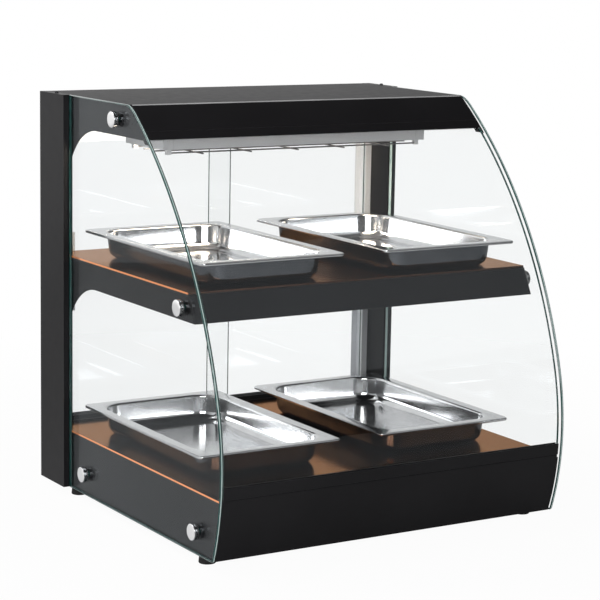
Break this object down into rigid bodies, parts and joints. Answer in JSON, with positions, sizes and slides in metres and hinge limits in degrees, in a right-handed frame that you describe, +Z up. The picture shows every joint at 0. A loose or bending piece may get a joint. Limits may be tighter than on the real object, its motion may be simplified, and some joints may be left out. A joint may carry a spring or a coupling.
{
  "type": "heated display case",
  "caption": "Countertop heated display case with curved glass front, flat side panes on chrome knobs, heated shelf and deck, ceiling heater, food pans and sliding rear doors.",
  "frame": {"origin": "on the counter, under the middle of the case's box", "axes": "+X to the right seen from the front, +Y to the back where the sliding doors are, +Z up"},
  "size_m": [0.6806, 0.6338, 0.699],
  "materials": {
    "black_paint": "black powder coat, semi-gloss",
    "heated_plate": "dark reflective plate with a warm sheen",
    "stainless": "satin stainless",
    "chrome": "polished",
    "aluminium": "satin anodised",
    "clear_glass": "clear tempered glass with green edges",
    "quartz": "milky quartz",
    "ceramic": "glazed white ceramic",
    "coil_sheath": "heat-darkened steel sheath",
    "black_plastic": "fine satin",
    "red_plastic": "glossy translucent red",
    "amber_plastic": "glossy amber lens",
    "rubber": "matte"
  },
  "bodies": {
    "case": {"side_frame_left": "black_paint", "side_frame_right": "black_paint", "rear_column_left": "black_paint", "rear_column_right": "black_paint", "base_tray": "black_paint", "canopy_cover": "black_paint", "shelf_housing": "black_paint", "upper_glass_holder": "black_paint", "lower_glass_holder": "black_paint", "base_deck": "heated_plate", "shelf_top_plate": "heated_plate", "canopy_ceiling": "stainless", "rear_control_panel": "stainless", "heater_trough": "stainless", "heater_cap_left": "stainless", "heater_cap_right": "stainless", "heater_reflector": "chrome", "wire_guard": "chrome", "glass_knob_canopy_left": "chrome", "glass_knob_canopy_right": "chrome", "glass_knob_shelf_left": "chrome", "glass_knob_shelf_right": "chrome", "glass_knob_base_rear_left": "chrome", "glass_knob_base_rear_right": "chrome", "glass_knob_base_front_left": "chrome", "glass_knob_base_front_right": "chrome", "door_jamb_left": "aluminium", "door_jamb_right": "aluminium", "upper_door_track": "aluminium", "lower_door_track": "aluminium", "side_glass_left": "clear_glass", "side_glass_right": "clear_glass", "front_glass": "clear_glass", "quartz_tube_front": "quartz", "quartz_tube_rear": "quartz", "tube_socket_left": "ceramic", "tube_socket_right": "ceramic", "terminal_block": "ceramic", "shelf_heating_coil": "coil_sheath", "base_heating_coil": "coil_sheath", "thermostat_body": "black_plastic", "switch_frame": "black_plastic", "pilot_lamp": "amber_plastic", "cable_gland": "black_plastic", "foot_front_left": "rubber", "foot_front_right": "rubber", "foot_rear_left": "rubber", "foot_rear_right": "rubber"},
    "left_door": {"rear_door_left": "clear_glass", "door_grip_left": "aluminium"},
    "right_door": {"rear_door_right": "clear_glass", "door_grip_right": "aluminium"},
    "dial": {"thermostat_dial": "black_plastic"},
    "lamp_rocker": {"lamp_switch_rocker": "black_plastic"},
    "heat_rocker": {"heat_switch_rocker": "red_plastic"},
    "upper_left_pan": {"food_pan_upper_left": "stainless"},
    "upper_right_pan": {"food_pan_upper_right": "stainless"},
    "lower_left_pan": {"food_pan_lower_left": "stainless"},
    "lower_right_pan": {"food_pan_lower_right": "stainless"}
  },
  "joints": [
    {"name": "left_door_slide", "type": "slide", "parent": "case", "child": "left_door", "axis": [1, 0, 0], "range_m": [0, 0.285]},
    {"name": "right_door_slide", "type": "slide", "parent": "case", "child": "right_door", "axis": [1, 0, 0], "range_m": [-0.3, 0]},
    {"name": "dial_turn", "type": "hinge", "parent": "case", "child": "dial", "pos_m": [0.19, 0.2938, 0.0721], "axis": [0, -1, 0], "range_deg": [0, 270]},
    {"name": "lamp_switch_press", "type": "hinge", "parent": "case", "child": "lamp_rocker", "pos_m": [0.09, 0.2935, 0.0721], "axis": [1, 0, 0], "range_deg": [-18, 0]},
    {"name": "heat_switch_press", "type": "hinge", "parent": "case", "child": "heat_rocker", "pos_m": [0.13, 0.2935, 0.0721], "axis": [1, 0, 0], "range_deg": [-18, 0]},
    {"name": "upper_left_pan_slide", "type": "slide", "parent": "case", "child": "upper_left_pan", "axis": [0, 1, 0], "range_m": [0, 0.06]},
    {"name": "upper_right_pan_slide", "type": "slide", "parent": "case", "child": "upper_right_pan", "axis": [0, 1, 0], "range_m": [0, 0.06]},
    {"name": "lower_left_pan_lift", "type": "slide", "parent": "case", "child": "lower_left_pan", "axis": [0, 0, 1], "range_m": [0, 0.06]},
    {"name": "lower_right_pan_lift", "type": "slide", "parent": "case", "child": "lower_right_pan", "axis": [0, 0, 1], "range_m": [0, 0.06]}
  ]
}
